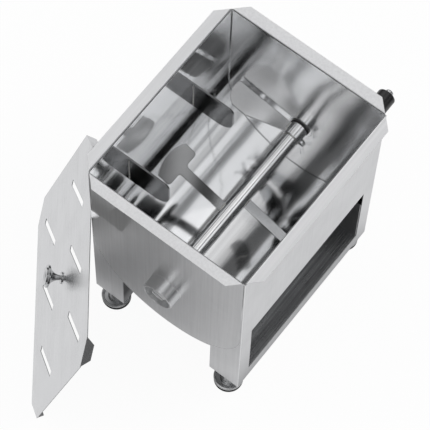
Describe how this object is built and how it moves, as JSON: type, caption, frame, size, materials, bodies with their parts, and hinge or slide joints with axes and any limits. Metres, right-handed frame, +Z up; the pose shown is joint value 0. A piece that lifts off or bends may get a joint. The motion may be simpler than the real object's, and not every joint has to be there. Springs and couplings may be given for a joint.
{
  "type": "manual meat mixer",
  "caption": "Stainless hand-crank meat mixer: round-bottomed tank on levelling feet, paddle shaft with side crank and grip, inner baffles, and a loose slotted lid leaning on it.",
  "frame": {"origin": "On the table top, midway between the four feet (below the middle of the tank).", "axes": "+X to the right along the front wall, +Y to the rear along the shaft towards the crank, +Z up"},
  "size_m": [0.415, 0.6953, 0.425],
  "materials": {
    "brushed": "stainless sheet with a fine brushed grain",
    "polished": "polished stainless steel with soft wear",
    "fastener": "bright stainless fastener",
    "bush_plastic": "off-white food-grade plastic",
    "grip_plastic": "smooth black plastic",
    "black_rubber": "matte black rubber"
  },
  "bodies": {
    "tank": {"hopper": "polished", "front_wall": "brushed", "rear_wall": "brushed", "left_wall": "brushed", "right_wall": "brushed", "left_rail": "brushed", "right_rail": "brushed", "base_shelf": "brushed", "baffle_front": "polished", "baffle_rear": "polished", "leg_nuts": "fastener", "front_hub": "polished", "front_bush": "bush_plastic", "rear_hub": "polished", "rear_bush": "bush_plastic", "rear_seal": "black_rubber"},
    "agitator": {"paddle_shaft": "polished", "drive_end": "polished", "shaft_clip": "fastener", "coupling_sleeve": "polished", "paddle_left": "polished", "paddle_right": "polished", "wiper_rear": "polished", "wiper_front": "polished"},
    "crank": {"crank_spindle": "polished", "crank_spacer": "polished", "crank_arm": "polished", "crank_washer": "fastener", "crank_nut": "fastener", "grip_bolt": "fastener", "grip_washer": "fastener", "grip_cap": "fastener"},
    "grip": {"grip": "grip_plastic"},
    "wing_screw": {"wing_screw": "polished"},
    "lid": {"lid_plate": "brushed", "lid_knob": "polished", "lid_screw": "fastener"},
    "foot_fl": {"foot_sole_fl": "black_rubber", "foot_cup_fl": "polished", "foot_stud_fl": "fastener", "foot_nut_fl": "fastener"},
    "foot_fr": {"foot_sole_fr": "black_rubber", "foot_cup_fr": "polished", "foot_stud_fr": "fastener", "foot_nut_fr": "fastener"},
    "foot_rl": {"foot_sole_rl": "black_rubber", "foot_cup_rl": "polished", "foot_stud_rl": "fastener", "foot_nut_rl": "fastener"},
    "foot_rr": {"foot_sole_rr": "black_rubber", "foot_cup_rr": "polished", "foot_stud_rr": "fastener", "foot_nut_rr": "fastener"}
  },
  "joints": [
    {"name": "shaft_spin", "type": "hinge", "parent": "tank", "child": "agitator", "pos_m": [0, 0, 0.225], "axis": [0, 1, 0], "continuous": true},
    {"name": "crank_draw", "type": "slide", "parent": "agitator", "child": "crank", "axis": [0, 1, 0], "range_m": [0, 0.04]},
    {"name": "grip_spin", "type": "hinge", "parent": "crank", "child": "grip", "pos_m": [0.03374, 0.275, 0.07884], "axis": [0, 1, 0], "continuous": true},
    {"name": "wing_turn", "type": "hinge", "parent": "agitator", "child": "wing_screw", "pos_m": [0, 0.1349, 0.225], "axis": [0.8191, 0, -0.5736], "range_deg": [0, 270]},
    {"name": "lid_lift", "type": "slide", "parent": "tank", "child": "lid", "axis": [0, 0, 1], "range_m": [0, 0.35]},
    {"name": "foot_fl_level", "type": "slide", "parent": "tank", "child": "foot_fl", "axis": [0, 0, -1], "range_m": [0, 0.008]},
    {"name": "foot_fr_level", "type": "slide", "parent": "tank", "child": "foot_fr", "axis": [0, 0, -1], "range_m": [0, 0.008]},
    {"name": "foot_rl_level", "type": "slide", "parent": "tank", "child": "foot_rl", "axis": [0, 0, -1], "range_m": [0, 0.008]},
    {"name": "foot_rr_level", "type": "slide", "parent": "tank", "child": "foot_rr", "axis": [0, 0, -1], "range_m": [0, 0.008]}
  ]
}
